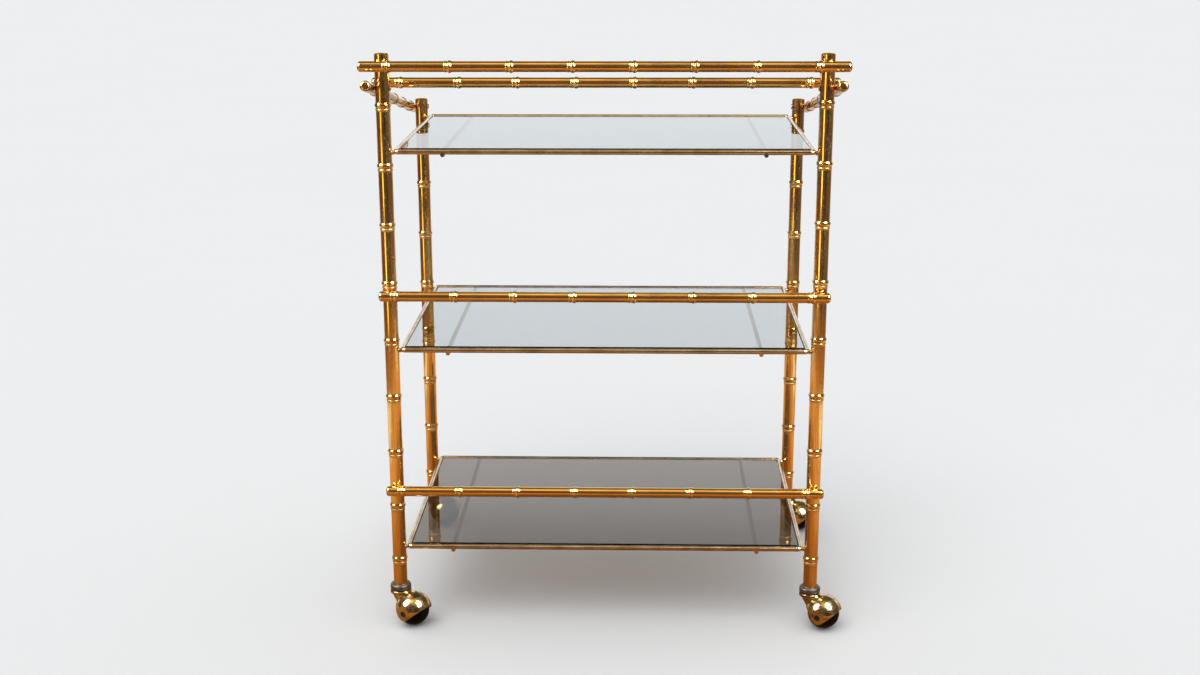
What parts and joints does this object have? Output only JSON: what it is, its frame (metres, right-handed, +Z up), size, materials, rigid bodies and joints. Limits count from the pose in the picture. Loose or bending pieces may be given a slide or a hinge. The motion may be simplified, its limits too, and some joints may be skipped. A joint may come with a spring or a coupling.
{
  "type": "bar cart",
  "caption": "Bamboo-style brass tube bar cart with smoked glass shelves, sloping side rails and hooded ball casters.",
  "frame": {"origin": "on the floor, under the middle of the cart's bounding box", "axes": "+X to the cart's right seen from the front, +Y from the front posts to the rear posts, +Z up"},
  "size_m": [0.6538, 0.4462, 0.8025],
  "materials": {
    "post_brass": "polished, tarnished to brown in streaks",
    "rail_brass": "polished, lightly tarnished",
    "cap_brass": "polished, dulled at the rims",
    "frame_brass": "polished, pale",
    "screw_brass": "satin",
    "hood_brass": "bright polish",
    "smoked_glass": "clear smoked",
    "collar_plastic": "satin dark brown",
    "sleeve_plastic": "matte black",
    "stem_steel": "plated",
    "axle_steel": "dull plated",
    "wheel_plastic": "satin black"
  },
  "bodies": {
    "cart": {"front_left_post": "post_brass", "front_left_post_cap": "cap_brass", "front_left_post_collar": "collar_plastic", "front_left_stem_sleeve": "sleeve_plastic", "front_right_post": "post_brass", "front_right_post_cap": "cap_brass", "front_right_post_collar": "collar_plastic", "front_right_stem_sleeve": "sleeve_plastic", "rear_left_post": "post_brass", "rear_left_post_cap": "cap_brass", "rear_left_post_collar": "collar_plastic", "rear_left_stem_sleeve": "sleeve_plastic", "rear_right_post": "post_brass", "rear_right_post_cap": "cap_brass", "rear_right_post_collar": "collar_plastic", "rear_right_stem_sleeve": "sleeve_plastic", "front_top_rail": "rail_brass", "front_mid_rail": "rail_brass", "front_low_rail": "rail_brass", "left_side_rail": "rail_brass", "right_side_rail": "rail_brass", "cross_rail": "rail_brass", "front_rail_caps": "cap_brass", "side_rail_caps": "cap_brass", "cross_rail_caps": "cap_brass", "front_rail_screws": "screw_brass", "side_rail_screws": "screw_brass", "cross_rail_screws": "screw_brass", "top_shelf_frame": "frame_brass", "top_support_rods": "frame_brass", "top_corner_studs": "frame_brass", "top_shelf_glass": "smoked_glass", "mid_shelf_frame": "frame_brass", "mid_support_rods": "frame_brass", "mid_corner_studs": "frame_brass", "mid_shelf_glass": "smoked_glass", "low_shelf_frame": "frame_brass", "low_support_rods": "frame_brass", "low_corner_studs": "frame_brass", "low_shelf_glass": "smoked_glass"},
    "front_left_swivel": {"front_left_caster_hood": "hood_brass", "front_left_caster_stem": "stem_steel", "front_left_caster_axle": "axle_steel"},
    "front_left_wheel": {"front_left_caster_wheel": "wheel_plastic"},
    "front_right_swivel": {"front_right_caster_hood": "hood_brass", "front_right_caster_stem": "stem_steel", "front_right_caster_axle": "axle_steel"},
    "front_right_wheel": {"front_right_caster_wheel": "wheel_plastic"},
    "rear_left_swivel": {"rear_left_caster_hood": "hood_brass", "rear_left_caster_stem": "stem_steel", "rear_left_caster_axle": "axle_steel"},
    "rear_left_wheel": {"rear_left_caster_wheel": "wheel_plastic"},
    "rear_right_swivel": {"rear_right_caster_hood": "hood_brass", "rear_right_caster_stem": "stem_steel", "rear_right_caster_axle": "axle_steel"},
    "rear_right_wheel": {"rear_right_caster_wheel": "wheel_plastic"}
  },
  "joints": [
    {"name": "front_left_caster_swivel", "type": "hinge", "parent": "cart", "child": "front_left_swivel", "pos_m": [-0.29805, -0.1845, 0.05], "axis": [0, 0, 1], "continuous": true},
    {"name": "front_left_wheel_spin", "type": "hinge", "parent": "front_left_swivel", "child": "front_left_wheel", "pos_m": [-0.27939, -0.19616, 0.0222], "axis": [0.5299, 0.848, 0], "continuous": true},
    {"name": "front_right_caster_swivel", "type": "hinge", "parent": "cart", "child": "front_right_swivel", "pos_m": [0.28196, -0.1845, 0.05], "axis": [0, 0, 1], "continuous": true},
    {"name": "front_right_wheel_spin", "type": "hinge", "parent": "front_right_swivel", "child": "front_right_wheel", "pos_m": [0.3011, -0.19533, 0.0222], "axis": [0.4924, 0.8704, 0], "continuous": true},
    {"name": "rear_left_caster_swivel", "type": "hinge", "parent": "cart", "child": "rear_left_swivel", "pos_m": [-0.29805, 0.1845, 0.05], "axis": [0, 0, 1], "continuous": true},
    {"name": "rear_left_wheel_spin", "type": "hinge", "parent": "rear_left_swivel", "child": "rear_left_wheel", "pos_m": [-0.27844, 0.17451, 0.0222], "axis": [0.454, 0.891, 0], "continuous": true},
    {"name": "rear_right_caster_swivel", "type": "hinge", "parent": "cart", "child": "rear_right_swivel", "pos_m": [0.28196, 0.1845, 0.05], "axis": [0, 0, 1], "continuous": true},
    {"name": "rear_right_wheel_spin", "type": "hinge", "parent": "rear_right_swivel", "child": "rear_right_wheel", "pos_m": [0.30156, 0.17451, 0.0222], "axis": [0.454, 0.891, 0], "continuous": true}
  ]
}
